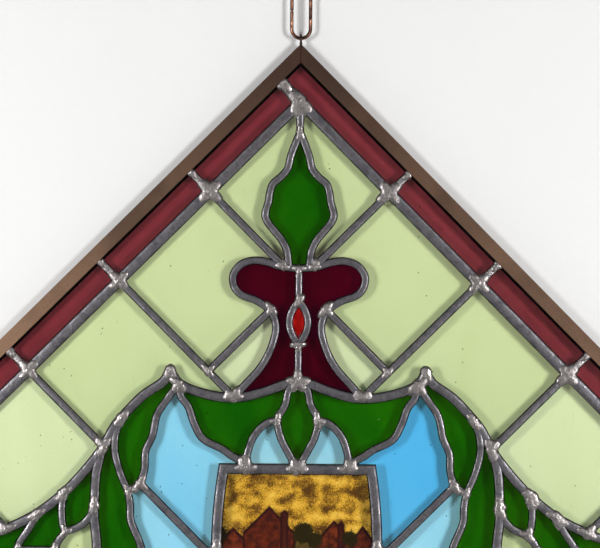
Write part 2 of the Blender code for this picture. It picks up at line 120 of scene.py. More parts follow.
rolled_sheet, given, result = effect(
    "rolled_sheet",
    [("Tint", "Color", (1, 1, 1, 1)), ("Deep Tint", "Color", (0.5, 0.5, 0.5, 1)), ("Streaks", "Float", 30.0),
     ("Seeds", "Float", 1.0)],
    [("Color", "Color"), ("Height", "Float")],
)
place = shader_node(rolled_sheet, "TexCoord").outputs["Object"]
drawn_out = shader_node(rolled_sheet, "Mapping", {"Vector": place, "Rotation": (0, 0.5, 0), "Scale": (1, 1, 0.35)})
streaks = mottle(rolled_sheet, drawn_out.outputs[0], given["Streaks"], detail=4, distortion=0.6)
colour = tinted(rolled_sheet, stretched(rolled_sheet, streaks, 0.38, 0.72), given["Tint"], given["Deep Tint"])
bubbles = shader_node(rolled_sheet, "TexVoronoi", {"Vector": place, "Scale": 190.0})
odd = shader_node(rolled_sheet, "SeparateColor", {0: bubbles.outputs["Color"]}).outputs[0]
rare = stretched(rolled_sheet, reckoned(rolled_sheet, "MULTIPLY", odd, given["Seeds"]), 0.74, 0.86)
round_seed = stretched(rolled_sheet, bubbles.outputs["Distance"], 0.045, 0.09, 1.0, 0.0)
seed = reckoned(rolled_sheet, "MULTIPLY", rare, round_seed)
scored = shader_node(rolled_sheet, "Mapping", {"Vector": place, "Rotation": (0, 0.75, 0), "Scale": (1, 1, 0.16)})
scratched = stretched(rolled_sheet, mottle(rolled_sheet, scored.outputs[0], 800.0, detail=1.0), 0.66, 0.72)
in_places = stretched(rolled_sheet, mottle(rolled_sheet, place, 34.0, detail=1.0), 0.60, 0.66)
marks = reckoned(rolled_sheet, "MULTIPLY", scratched, in_places)
flaws = reckoned(rolled_sheet, "ADD", seed, reckoned(rolled_sheet, "MULTIPLY", marks, 0.3), clamp=True)
dimmed = tinted(rolled_sheet, 1.0, colour, (0.6, 0.6, 0.6, 1), way="MULTIPLY")
rolled_sheet.links.new(tinted(rolled_sheet, flaws, colour, dimmed), result["Color"])
ripple = reckoned(rolled_sheet, "ADD", mottle(rolled_sheet, drawn_out.outputs[0], 70.0, detail=1.0), seed)
rolled_sheet.links.new(ripple, result["Height"])


def pane_shader(tree, colour, lamp_tint, height, ripple_depth, roughness, clearness=1.0):
    """See-through glass with a tinted shadow: light on its way to and from the lamps passes it straight."""
    bump = shader_node(tree, "Bump", {"Strength": 1.0, "Distance": ripple_depth, "Height": height})
    glass = shader_node(tree, "BsdfPrincipled", {
        "Base Color": colour, "Roughness": roughness, "IOR": GLASS_INDEX, "Transmission Weight": clearness,
        "Normal": bump.outputs[0],
    })
    each_face = (*[math.sqrt(share) for share in lamp_tint[:3]], 1)
    lamp_light = shader_node(tree, "BsdfTransparent", {"Color": each_face})
    rays = shader_node(tree, "LightPath")
    shader = glass
    for ray in ("Is Shadow Ray", "Is Diffuse Ray"):
        feeds = {0: rays.outputs[ray], 1: shader.outputs[0], 2: lamp_light.outputs[0]}
        shader = shader_node(tree, "MixShader", feeds)
    tree.links.new(shader.outputs[0], shader_node(tree, "OutputMaterial").inputs["Surface"])


def sheet_glass(name, tint, deep_tint, streaks, seeds=1.0, ripple_depth=RIPPLE_DEPTH, clearness=1.0):
    """Glass of one colour, streaked with a deeper tint."""
    material, tree = fresh_material(name)
    feeds = {"Tint": tint, "Deep Tint": deep_tint, "Streaks": streaks, "Seeds": seeds}
    sheet = shader_node(tree, "Group", feeds, node_tree=rolled_sheet).outputs
    halfway = [(light + deep) / 2 for light, deep in zip(tint, deep_tint)]
    pane_shader(tree, sheet["Color"], halfway, sheet["Height"], ripple_depth, SHEET_ROUGHNESS, clearness)
    return material


def dress(slot, material, *names):
    """Gives a finish to the CAD pieces that the record puts in one slot, or only to those whose names start so."""
    for node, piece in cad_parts.items():
        if piece.data.materials[0].name == slot and node.startswith(names or ("",)):
            piece.material_slots[0].link = "OBJECT"
            piece.material_slots[0].material = material


dress("maroon_glass", sheet_glass("maroon_sheet", stain(136, 47, 57), stain(112, 36, 45), streaks=45.0))
dress("pale_green_glass", sheet_glass("pale_green_sheet", stain(214, 229, 171), stain(204, 220, 157), streaks=18.0))
paler_green = sheet_glass("paler_green_sheet", stain(226, 240, 190), stain(214, 230, 172), streaks=18.0)
dress("pale_green_glass", paler_green, "quarry_under_scroll", "quarry_side")
dress("deep_green_glass", sheet_glass("deep_green_sheet", stain(26, 104, 0), stain(2, 74, 0), streaks=22.0))
dress("dark_red_glass", sheet_glass("dark_red_sheet", stain(72, 0, 14), stain(52, 0, 9), streaks=50.0))
dress("blue_glass", sheet_glass("blue_sheet", stain(156, 224, 255), stain(98, 198, 254), streaks=14.0, seeds=1.5))
deeper_blue = sheet_glass("deeper_blue_sheet", stain(92, 196, 254), stain(66, 178, 250), streaks=14.0, seeds=1.5)
dress("blue_glass", deeper_blue, "sky_upper_right")
paler_blue = sheet_glass("paler_blue_sheet", stain(164, 228, 255), stain(134, 212, 255), streaks=14.0, seeds=1.5)
dress("blue_glass", paler_blue, "sky_lower", "sky_triangle")


# The jewel in the finial is a pressed piece of clear red glass, a pointed oval with a flat front and a bevel all
# round. It is thicker than the sheets and sits in its own ring of lead.

CELL = 0.0890
HALF_CELL = CELL / math.sqrt(2)
net_low, net_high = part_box("lead_net")
MIDDLE = (net_low[2] + net_high[2]) / 2
JEWEL_LEVEL = 2.55
JEWEL_REACH, JEWEL_RISE = 0.105, 0.24
EDGE_COVER = 0.0011
JEWEL_HALF_WIDTH = JEWEL_REACH * HALF_CELL - EDGE_COVER
JEWEL_HALF_HEIGHT = JEWEL_RISE * HALF_CELL - 2.4 * EDGE_COVER
JEWEL_BACK, JEWEL_GIRDLE, JEWEL_FRONT = 0.0015, -0.0014, -0.0022
INSIDE_BEVEL = 0.72
AROUND = 12


def on_panel(x, z, y=0.0):
    """A point of the design, in half cells from the middle of the panel, as a point in metres."""
    return Vector((x * HALF_CELL, y, MIDDLE + z * HALF_CELL))


def piece_of(name, corners, faces, *materials, smooth_angle=40.0):
    """A new piece from its corners and faces, rounded where the faces meet at a low angle."""
    mesh = bpy.data.meshes.new(name)
    mesh.from_pydata([tuple(c) for c in corners], [], faces)
    shell = bmesh.new()
    shell.from_mesh(mesh)
    bmesh.ops.recalc_face_normals(shell, faces=shell.faces)
    shell.to_mesh(mesh)
    shell.free()
    for face in mesh.polygons:
        face.use_smooth = True
    mesh.set_sharp_from_angle(angle=math.radians(smooth_angle))
    for material in materials:
        mesh.materials.append(material)
    made = bpy.data.objects.new(name, mesh)
    bpy.context.scene.collection.objects.link(made)
    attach(made, "root")
    return made


def jewel_ring(shrink, depth):
    """One level ring of the jewel's corners, pointed above and below."""
    ring = []
    for i in range(AROUND):
        turn = 2 * math.pi * i / AROUND
        rise = math.sin(turn)
        bow = (1 - abs(rise) ** 1.6) * math.copysign(1, math.cos(turn))
        off = Vector((bow * JEWEL_HALF_WIDTH * shrink, 0, rise * JEWEL_HALF_HEIGHT * shrink))
        ring.append(on_panel(0, JEWEL_LEVEL, depth) + off)
    return ring


jewel_corners = jewel_ring(1, JEWEL_BACK) + jewel_ring(1, JEWEL_GIRDLE) + jewel_ring(INSIDE_BEVEL, JEWEL_FRONT)
jewel_faces = []
for first in (0, AROUND):
    for i in range(AROUND):
        beside = (i + 1) % AROUND
        jewel_faces.append([first + i, first + beside, first + AROUND + beside, first + AROUND + i])
jewel_faces += [list(range(AROUND)), list(range(2 * AROUND, 3 * AROUND))]
jewel_red = sheet_glass(
    "red_jewel", stain(226, 3, 2), stain(130, 0, 0), streaks=420.0, seeds=0.0, ripple_depth=0.0001, clearness=0.78
)
jewel = piece_of("pressed_jewel", jewel_corners, jewel_faces, jewel_red, smooth_angle=10)
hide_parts("finial_gem")


# The middle pane is painted in brown enamel and gold stain, and fired: a bright mottled sky over a plain village of
# gabled barns and round trees. The brush marks stay rough, so the paint is less glossy than the bare glass.

KILN_GOLD = stain(228, 176, 66)
PAINT_ROUGHNESS, PAINT_DEPTH = 0.12, 0.0001
BRUSH_SOFTNESS = 0.008
EAVES_PAST_WALL, ROOF_THICKNESS = 0.025, 0.02
BARNS = (
    (-0.30, 0.27, 0.20, 0.28, (108, 42, 20)),
    (-0.70, 0.11, 0.13, 0.11, (128, 54, 26)),
    (-0.13, 0.020, 0.42, 0.02, (90, 38, 22)),
    (0.42, 0.18, 0.11, 0.22, (120, 50, 22)),
    (0.50, 0.016, 0.30, 0.02, (90, 38, 22)),
    (0.74, 0.09, 0.14, 0.13, (128, 54, 26)),
)
TREES = ((0.08, 0.22, 0.12), (0.20, 0.15, 0.09), (-0.86, 0.20, 0.10), (0.60, 0.16, 0.09))


def kiln_paint(red, green, blue):
    """What painted glass lets by to the eye, so that it has this shade with gold light on the wall behind it."""
    return (*[min(0.99, s / WALL_WHITE / gold) for s, gold in zip(painted(red, green, blue)[:3], KILN_GOLD)], 1)


def brush_edge(tree, inside):
    """Turns a distance inside an outline into a painted area with a soft brushed edge."""
    return stretched(tree, inside, -BRUSH_SOFTNESS, BRUSH_SOFTNESS)


gable, given, result = effect(
    "gabled_front",
    [("Across", "Float", 0.0), ("Up", "Float", 0.0), ("Middle", "Float", 0.0), ("Half Width", "Float", 0.2),
     ("Eaves", "Float", 0.0), ("Rise", "Float", 0.2)],
    [("Mask", "Float")],
)
off_middle = reckoned(gable, "ABSOLUTE", reckoned(gable, "SUBTRACT", given["Across"], given["Middle"]))
side_room = reckoned(gable, "SUBTRACT", given["Half Width"], off_middle)
slope = reckoned(gable, "MULTIPLY", reckoned(gable, "DIVIDE", side_room, given["Half Width"]), given["Rise"])
under_roof = reckoned(gable, "SUBTRACT", reckoned(gable, "ADD", given["Eaves"], slope), given["Up"])
gable.links.new(brush_edge(gable, reckoned(gable, "MINIMUM", under_roof, side_room)), result["Mask"])

picture_glass, tree = fresh_material("painted_picture_glass")
place = shader_node(tree, "TexCoord").outputs["Object"]
design = shader_node(tree, "Mapping", {
    "Vector": place, "Scale": (1 / HALF_CELL,) * 3, "Location": (0, 0, -MIDDLE / HALF_CELL),
}).outputs[0]
shaky = mottle(tree, design, 26.0, detail=2.0)
parted = shader_node(tree, "SeparateXYZ", {0: design})
across = reckoned(tree, "ADD", parted.outputs["X"], reckoned(tree, "MULTIPLY", shaky, 0.016))
up = reckoned(tree, "ADD", parted.outputs["Z"], reckoned(tree, "MULTIPLY", shaky, 0.02))

drawn_flat = shader_node(tree, "Mapping", {"Vector": design, "Scale": (1, 1, 1.3)}).outputs[0]
clouds = mottle(tree, drawn_flat, 5.2, detail=1.0, distortion=0.3)
stipple = mottle(tree, design, 70.0, detail=2.0)
grainy = reckoned(tree, "SUBTRACT", stipple, 0.5)
brushed = reckoned(tree, "ADD", clouds, reckoned(tree, "MULTIPLY", grainy, 0.62))
sky = tinted(tree, stretched(tree, brushed, 0.36, 0.58), kiln_paint(88, 56, 22), kiln_paint(222, 166, 46))
colour = tinted(tree, stretched(tree, brushed, 0.56, 0.72), sky, kiln_paint(240, 192, 76))

wave = reckoned(tree, "SINE", reckoned(tree, "MULTIPLY", across, 3.4))
hill_line = reckoned(tree, "ADD", reckoned(tree, "MULTIPLY", wave, 0.05), 0.16)
hill_side = tinted(tree, stretched(tree, stipple, 0.35, 0.65), kiln_paint(58, 44, 22), kiln_paint(104, 84, 34))
colour = tinted(tree, brush_edge(tree, reckoned(tree, "SUBTRACT", hill_line, up)), colour, hill_side)


def barn_front(middle, half_width, eaves, rise):
    """Where one gabled front or chimney of the village stands on the pane, in half cells from its middle."""
    feeds = {"Across": across, "Up": up, "Middle": middle, "Half Width": half_width, "Eaves": eaves, "Rise": rise}
    return shader_node(tree, "Group", feeds, node_tree=gable).outputs["Mask"]


rubbed = stretched(tree, mottle(tree, design, 15.0, detail=5.0), 0.36, 0.62)
for middle, half_width, eaves, rise, wall_shade in BARNS:
    roof = barn_front(middle, half_width + EAVES_PAST_WALL, eaves + ROOF_THICKNESS, rise + ROOF_THICKNESS)
    colour = tinted(tree, roof, colour, kiln_paint(48, 20, 20))
    wall = tinted(tree, rubbed, kiln_paint(50, 21, 19), kiln_paint(*wall_shade))
    colour = tinted(tree, barn_front(middle, half_width, eaves, rise), colour, wall)
for middle, height, radius in TREES:
    off_across = reckoned(tree, "POWER", reckoned(tree, "SUBTRACT", across, middle), 2.0)
    off_up = reckoned(tree, "POWER", reckoned(tree, "SUBTRACT", up, height), 2.0)
    gap = reckoned(tree, "SQRT", reckoned(tree, "ADD", off_across, off_up))
    ragged = reckoned(tree, "ADD", gap, reckoned(tree, "MULTIPLY", grainy, 0.12))
    crown = brush_edge(tree, reckoned(tree, "SUBTRACT", radius, ragged))
    colour = tinted(tree, crown, colour, kiln_paint(42, 34, 14))
meadow = tinted(tree, stretched(tree, brushed, 0.4, 0.6), kiln_paint(74, 58, 24), kiln_paint(140, 112, 44))
colour = tinted(tree, brush_edge(tree, reckoned(tree, "SUBTRACT", -0.02, up)), colour, meadow)
pane_shader(tree, colour, KILN_GOLD, stipple, PAINT_DEPTH, PAINT_ROUGHNESS)
dress("painted_glass", picture_glass)


# The leads are milled strips of H section: two rounded faces, with a heart between them that parts the panes. They
# are bent along the edges of the glass, wide ones for the border, the arch and the garland and narrow ones elsewhere.

NARROW_FACE, ARCH_FACE, SURROUND_FACE, BORDER_FACE = 0.0048, 0.0062, 0.0068, 0.0072
FACE_CROWN, FACE_LIP = 0.0025, 0.0018
HEART, HEART_OVERLAP = 0.0016, 0.0002
SPOT_STEP = 0.003
HAND_WANDER = 0.00012
SWAY_PACE, SCRAPE_PACE = 9, 14
WIDTH_SWAY, CROWN_SWAY, SCRAPE_SHARE = 60, 40, 0.4
ROUNDED = ((-1, 0.0), (-0.98, 0.4), (-0.9, 0.7), (-0.72, 0.9), (-0.36, 0.98), (0, 1), (0.36, 0.98), (0.72, 0.9),
           (0.9, 0.7), (0.98, 0.4), (1, 0.0))

metal_skin, given, result = effect(
    "metal_skin",
    [("Bright", "Color", (0.5, 0.5, 0.5, 1)), ("Dull", "Color", (0.2, 0.2, 0.2, 1)),
     ("Grime", "Color", (0.02, 0.02, 0.02, 1)), ("Patches", "Float", 60.0), ("Grain", "Float", 900.0),
     ("Smoothest", "Float", 0.3), ("Roughest", "Float", 0.6)],
    [("Color", "Color"), ("Roughness", "Float"), ("Height", "Float")],
)
place = shader_node(metal_skin, "TexCoord").outputs["Object"]
patches = mottle(metal_skin, place, given["Patches"], detail=5.0, distortion=0.4)
grain = mottle(metal_skin, place, given["Grain"], detail=3.0)
uneven = reckoned(metal_skin, "ADD", patches, reckoned(metal_skin, "MULTIPLY", grain, 0.35))
worn = stretched(metal_skin, uneven, 0.5, 0.85)
skin = tinted(metal_skin, worn, given["Dull"], given["Bright"])
pitted = stretched(metal_skin, grain, 0.36, 0.28)
metal_skin.links.new(tinted(metal_skin, pitted, skin, given["Grime"]), result["Color"])
sheen = stretched(metal_skin, worn, 0.0, 1.0, given["Roughest"], given["Smoothest"])
metal_skin.links.new(sheen, result["Roughness"])
hammered = reckoned(metal_skin, "ADD", grain, reckoned(metal_skin, "MULTIPLY", patches, 2.0))
metal_skin.links.new(hammered, result["Height"])


def metal(name, bright, dull, grime, patches, grain, smoothest, roughest, metallic=1.0, relief=0.00006):
    """A worn metal: bright where it is rubbed, dull elsewhere, with grime in its pits."""
    material, tree = fresh_material(name)
    skin = shader_node(tree, "Group", {
        "Bright": bright, "Dull": dull, "Grime": grime, "Patches": patches, "Grain": grain,
        "Smoothest": smoothest, "Roughest": roughest,
    }, node_tree=metal_skin)
    bump = shader_node(tree, "Bump", {"Strength": 0.7, "Distance": relief, "Height": skin.outputs["Height"]})
    shader = shader_node(tree, "BsdfPrincipled", {
        "Base Color": skin.outputs["Color"], "Roughness": skin.outputs["Roughness"], "Metallic": metallic,
        "Normal": bump.outputs[0],
    })
    tree.links.new(shader.outputs[0], shader_node(tree, "OutputMaterial").inputs["Surface"])
    return material


milled_lead = metal(
    "milled_lead", painted(112, 109, 113), painted(62, 60, 64), painted(27, 25, 27), patches=130.0, grain=1400.0,
    smoothest=0.2, roughest=0.44, metallic=0.64, relief=0.00012,
)
tinned_lead = metal(
    "tinned_lead", painted(176, 170, 168), painted(92, 88, 90), painted(34, 31, 32), patches=260.0, grain=1200.0,
    smoothest=0.2, roughest=0.4, metallic=0.85, relief=0.00014,
)

leads = []


def mirrored(points):
    """The same points on the other side of the upright axis."""
    return [(-x, z) for x, z in points]


def upended(points):
    """The same points on the other side of the level axis."""
    return [(x, -z) for x, z in points]


def eased(points):
    """A smooth line through points, by Catmull-Rom, with eight steps from each point to the next."""
    spots = [Vector(points[0])] + [Vector(p) for p in points] + [Vector(points[-1])]
    line = []
    for before, start, end, after in zip(spots, spots[1:], spots[2:], spots[3:]):
        for step in range(8):
            t = step / 8
            line.append(
                start * (2 * t**3 - 3 * t**2 + 1) + (end - before) / 2 * (t**3 - 2 * t**2 + t)
                + end * (3 * t**2 - 2 * t**3) + (after - start) / 2 * (t**3 - t**2)
            )
    return line + [spots[-1]]


def lay(face, points, curved=True, closed=False, hearted=True, sides=True, below=False):
    """Lays one lead and its mirror images, and returns them."""
    shapes = [points]
    shapes += [mirrored(shape) for shape in shapes] if sides else []
    shapes += [upended(shape) for shape in shapes] if below else []
    laid = []
    for shape in shapes:
        line = eased(shape) if curved else [Vector(p) for p in shape]
        turns = line + line[:1] if closed else line
        spots = []
        for a, b in zip(turns, turns[1:]):
            count = max(1, round((b - a).length * HALF_CELL / SPOT_STEP))
            spots += [a.lerp(b, i / count) for i in range(count)]
        spots += [] if closed else [line[-1]]
        laid.append({"face": face, "line": spots, "closed": closed, "hearted": hearted})
    leads.extend(laid)
    return laid


def swept(corners, faces, line, closed, section, wander=0.0):
    """Sweeps a section of (across, depth) points along a line of the design, mitred at its bends."""
    count, first = len(section), len(corners)
    for i, spot in enumerate(line):
        ahead = line[(i + 1) % len(line)] if closed or i + 1 < len(line) else spot * 2 - line[i - 1]
        behind = line[i - 1] if closed or i > 0 else spot * 2 - line[i + 1]
        into, out = (spot - behind).normalized(), (ahead - spot).normalized()
        square = Vector((-(into + out).y, (into + out).x)).normalized()
        mitre = 1 / max(0.4, square.dot(Vector((-into.y, into.x))))
        sway = noise.noise((spot.x * SWAY_PACE, spot.y * SWAY_PACE, 3.1)) * wander
        for track, (over, depth) in enumerate(section):
            x, z = spot * HALF_CELL + square * (over * mitre * (1 + sway * WIDTH_SWAY) + sway)
            scrape = 0
            if 1 < track < count - 2:
                rough = noise.noise((spot.x * SCRAPE_PACE, spot.y * SCRAPE_PACE, track * 5.3))
                scrape = rough * wander * SCRAPE_SHARE
            corners.append((x, depth * (1 + sway * CROWN_SWAY) + scrape, MIDDLE + z))
    rings = len(line) if closed else len(line) - 1
    for i in range(rings):
        here, there = first + i * count, first + (i + 1) % len(line) * count
        faces.extend([here + j, here + (j + 1) % count, there + (j + 1) % count, there + j] for j in range(count))
    if not closed:
        faces.append(list(range(first, first + count)))
        faces.append(list(range(first + rings * count, first + (rings + 1) * count)))


def lead_piece(name, laid, material):
    """Makes one piece of the leads that were laid: their two faces, and the heart where the panes are parted."""
    corners, faces = [], []
    for lead in laid:
        half = lead["face"] / 2
        for front in (-1, 1):
            section = [(half * u, front * (FACE_LIP + (FACE_CROWN - FACE_LIP) * v)) for u, v in ROUNDED]
            swept(corners, faces, lead["line"], lead["closed"], section, wander=HAND_WANDER)
        if lead["hearted"]:
            side, deep = HEART / 2, FACE_LIP + HEART_OVERLAP
            heart = [(-side, -deep), (side, -deep), (side, deep), (-side, deep)]
            swept(corners, faces, lead["line"], lead["closed"], heart)
    made = piece_of(name, corners, faces, material, smooth_angle=50)
    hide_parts("lead_net")
    return made


PAST = 0.0287 / CELL
SHORT_OF_RIM = 0.045
border, stubs = [], []
for turn in range(4):
    cosine, sine = round(math.cos(turn * math.pi / 2)), round(math.sin(turn * math.pi / 2))

    def turned(points):
        return [(x * cosine - z * sine, x * sine + z * cosine) for x, z in points]

    past = PAST - SHORT_OF_RIM
    border += lay(BORDER_FACE, turned([(5, 0), (-past, 5 + past)]), curved=False, sides=False)
    for node in range(1, 5):
        stub = turned([(node, 5 - node), (node + past, 5 - node + past)])
        stubs += lay(NARROW_FACE, stub, curved=False, sides=False, hearted=False)
lead_piece("border_leads", border, milled_lead)
lead_piece("border_stubs", stubs, tinned_lead)

lattice = lay(NARROW_FACE, [(0, 5), (0, 4.66)], curved=False, sides=False)
for points, below in (
    ([(-1, 4), (-0.17, 3.17)], False), ([(-2, 3), (-0.72, 1.72)], True), ([(-0.30, 2.70), (-1, 2)], False),
    ([(-3, 2), (-2.156, 1.156)], False), ([(-4, 1), (-3.23, 0.23)], False),
    ([(-1.75, 0.75), (-1, 0), (-0.893, 0)], False),
):
    lattice += lay(NARROW_FACE, points, curved=False, below=below)
for points in ([(-3, -2), (-2.156, -1.156)], [(-4, -1), (-3.23, -0.23)], [(-1, -4), (1, -2)]):
    lattice += lay(NARROW_FACE, points, curved=False, hearted=False)
lead_piece("lattice_leads", lattice, milled_lead)

finial = lay(NARROW_FACE, [
    (0, 4.66), (-0.045, 4.55), (-0.10, 4.40), (-0.135, 4.26), (-0.21, 4.165), (-0.295, 4.09), (-0.33, 3.99),
    (-0.345, 3.89), (-0.38, 3.75), (-0.35, 3.66), (-0.27, 3.56), (-0.19, 3.46), (-0.135, 3.34), (-0.115, 3.17),
])
finial += lay(NARROW_FACE, [
    (0, 3.15), (-0.20, 3.17), (-0.36, 3.22), (-0.51, 3.235), (-0.65, 3.185), (-0.73, 3.07), (-0.715, 2.94),
    (-0.63, 2.85), (-0.47, 2.79), (-0.34, 2.70), (-0.265, 2.58), (-0.255, 2.43), (-0.32, 2.22), (-0.43, 2.03),
    (-0.60, 1.84), (-0.70, 1.72),
])
finial += lay(NARROW_FACE, [(0, 3.15), (0, 2.79)], curved=False, sides=False)
finial += lay(NARROW_FACE, [(0, 2.31), (0, 1.90)], curved=False, sides=False)
jewel_left = [(-JEWEL_REACH * (1 - (i / 6) ** 2), JEWEL_LEVEL - JEWEL_RISE * i / 6) for i in range(-6, 7)]
finial += lay(NARROW_FACE, jewel_left + mirrored(jewel_left[-2:0:-1]), curved=False, closed=True, sides=False)
lead_piece("finial_leads", finial, milled_lead)

arch = [
    (-1.42, 2.01), (-1.33, 1.87), (-1.13, 1.775), (-0.85, 1.715), (-0.60, 1.72), (-0.34, 1.79), (-0.14, 1.865),
    (0, 1.89),
]
arches = lay(ARCH_FACE, arch + mirrored(arch[-2::-1]), sides=False, below=True)
arches += lay(NARROW_FACE, [
    (-1.33, 1.86), (-1.30, 1.72), (-1.215, 1.60), (-1.15, 1.42), (-1.05, 1.25), (-0.84, 1.14), (-0.74, 1.07),
    (-0.64, 1.01), (-0.57, 0.93),
], below=True)
arches += lay(NARROW_FACE, [
    (-0.04, 1.89), (-0.11, 1.78), (-0.14, 1.64), (-0.22, 1.47), (-0.19, 1.28), (-0.10, 1.10), (0, 0.92),
])
arches += lay(NARROW_FACE, [(0, -1.89), (0, -0.92)], curved=False, sides=False)
arches += lay(NARROW_FACE, [(-0.22, 1.47), (-0.36, 1.42), (-0.49, 1.28), (-0.56, 1.08), (-0.57, 0.93)])
lead_piece("arch_leads", arches, milled_lead)

bowed = [(-0.82 - 0.073 * (1 - (i / 8) ** 2), -0.115 * i) for i in range(-8, 9)]
surround = lay(SURROUND_FACE, bowed + mirrored(bowed[::-1]), curved=False, closed=True, sides=False)
lead_piece("picture_surround_lead", surround, milled_lead)

garland = lay(ARCH_FACE, [
    (-1.42, 2.01), (-1.50, 1.88), (-1.72, 1.725), (-1.91, 1.53), (-2.04, 1.37), (-2.17, 1.13), (-2.38, 0.86),
    (-2.62, 0.61), (-2.91, 0.39), (-3.22, 0.235), (-3.55, 0.11), (-3.87, 0),
], below=True)
garland += lay(NARROW_FACE, [(-1.96, 1.47), (-2.02, 1.30), (-2.03, 1.10), (-1.97, 0.87), (-1.88, 0.66)], below=True)
garland += lay(NARROW_FACE, [
    (-1.33, 1.86), (-1.455, 1.685), (-1.565, 1.51), (-1.615, 1.28), (-1.69, 1.10), (-1.70, 0.90), (-1.765, 0.74),
    (-1.88, 0.66),
])
for face, upper_half in (
    (NARROW_FACE, [(-1.88, 0.66), (-1.855, 0.50), (-1.845, 0.33), (-1.75, 0.10), (-1.725, 0)]),
    (ARCH_FACE, [(-2.18, 1.11), (-2.235, 0.85), (-2.25, 0.60), (-2.255, 0.40), (-2.22, 0)]),
    (NARROW_FACE, [(-2.575, 0.20), (-2.65, 0.10), (-2.68, 0)]),
    (NARROW_FACE, [(-2.89, 0.40), (-2.97, 0.25), (-3.08, 0.08), (-3.10, 0)]),
):
    garland += lay(face, upper_half + upended(upper_half[-2::-1]))
garland += lay(NARROW_FACE, [(-2.60, 0.63), (-2.615, 0.47), (-2.605, 0.30), (-2.575, 0.20)], below=True)
garland += lay(NARROW_FACE, [(-2.575, 0.20), (-2.41, 0.27), (-2.30, 0.38), (-2.255, 0.50)], below=True)
garland += lay(NARROW_FACE, [(-3.10, 0), (-2.68, 0)], curved=False, hearted=False)
lead_piece("garland_leads", garland, milled_lead)


# Black glazing cement is brushed under the lips of the leads, and shows as a thin dark line along both of their
# edges. It keeps the panes from rattling and the panel stiff. A black strip under the lip of the frame is cement
# too, and also a painted shade for the gap between the frame and the glass.

CEMENT_SHOWS, CEMENT_SLOPE = 0.0004, 0.0003
CEMENT_FOOT, CEMENT_TOP, FRAME_GAP_SHADE_TOP = 0.00155, 0.0019, 0.0021
CHANNEL_LIP = 0.0092
FRAME_GAP_SHADE_IN, FRAME_GAP_SHADE_OUT = -0.0018, 0.0014

black_cement_and_gap_shade = metal(
    "glazing_cement_and_gap_shade", painted(20, 16, 16), painted(10, 8, 9), painted(3, 3, 3), patches=200.0, grain=2400.0,
    smoothest=0.7, roughest=0.9,
)
corners, faces = [], []
for lead in leads:
    half = lead["face"] / 2 + CEMENT_SHOWS
    for front in (-1, 1):
        foot, top = front * CEMENT_FOOT, front * CEMENT_TOP
        bed = [(-half, foot), (-half + CEMENT_SLOPE, top), (half - CEMENT_SLOPE, top), (half, foot)]
        swept(corners, faces, lead["line"], lead["closed"], bed)
# Painted shade: a black strip along the inside of the frame's lip, cement that also stands for the shade in the gap
# between the frame and the glass.
rim = 5 + PAST - CHANNEL_LIP * math.sqrt(2) / HALF_CELL + PAST
rim_line = [Vector(p) for p in ((0, rim), (rim, 0), (0, -rim), (-rim, 0))]
for front in (-1, 1):
    foot, top = front * CEMENT_FOOT, front * FRAME_GAP_SHADE_TOP
    bed = [(FRAME_GAP_SHADE_IN, foot), (FRAME_GAP_SHADE_IN, top), (FRAME_GAP_SHADE_OUT, top), (FRAME_GAP_SHADE_OUT, foot)]
    swept(corners, faces, rim_line, True, bed)
cement = piece_of("glazing_cement_and_gap_shade", corners, faces, black_cement_and_gap_shade)


# Every meeting of leads is soldered on both faces. The solder is run on by hand, so each joint is a low bright lump
# that reaches a little way along the leads, with no two alike.

RIM_JOINT = 0.206
UNDER_FRAME = 5.3
SAME_JOINT, JOINED_WITHIN = 0.0042, 0.0036
RINGS, SPOKES = 7, 28
SOLDER_FOOT, SOLDER_EDGE, SOLDER_RISE, SOLDER_MIDDLE = 0.00152, 0.0018, 0.00115, 0.0031
LUMPINESS, ALONG_LEADS = 0.25, 1.1
PEBBLES, PEBBLE_HEIGHT = 700, 0.00011

solder_bright = metal(
    "bright_solder", painted(148, 142, 140), painted(94, 90, 90), painted(36, 33, 34), patches=300.0, grain=700.0,
    smoothest=0.24, roughest=0.46, metallic=0.85, relief=0.00016,
)
dice = random.Random(7)


def tangents(spot, lead):
    """Both ways along a lead from the place on it that is nearest to a spot, and how far off that place is."""
    line = lead["line"] + (lead["line"][:1] if lead["closed"] else [])
    best = min(range(len(line)), key=lambda i: (line[i] - spot).length)
    ahead, behind = line[min(best + 1, len(line) - 1)], line[max(best - 1, 0)]
    way = (ahead - behind).normalized()
    ways = [way] * (best < len(line) - 1 or lead["closed"]) + [-way] * (best > 0 or lead["closed"])
    return (line[best] - spot).length, ways


joints = [Vector((-RIM_JOINT, 5 + RIM_JOINT)), Vector((RIM_JOINT, -5 - RIM_JOINT)),
          Vector((5 + RIM_JOINT, RIM_JOINT)), Vector((-5 - RIM_JOINT, -RIM_JOINT))]
for across in (-1, 1):
    joints += [Vector((across * (i + RIM_JOINT), up * (5 - i + RIM_JOINT))) for i in range(1, 5) for up in (-1, 1)]
for lead in leads:
    for end in () if lead["closed"] else (lead["line"][0], lead["line"][-1]):
        under_frame = abs(end.x) + abs(end.y) > UNDER_FRAME
        if not under_frame and all((end - joint).length * HALF_CELL > SAME_JOINT for joint in joints):
            joints.append(end)

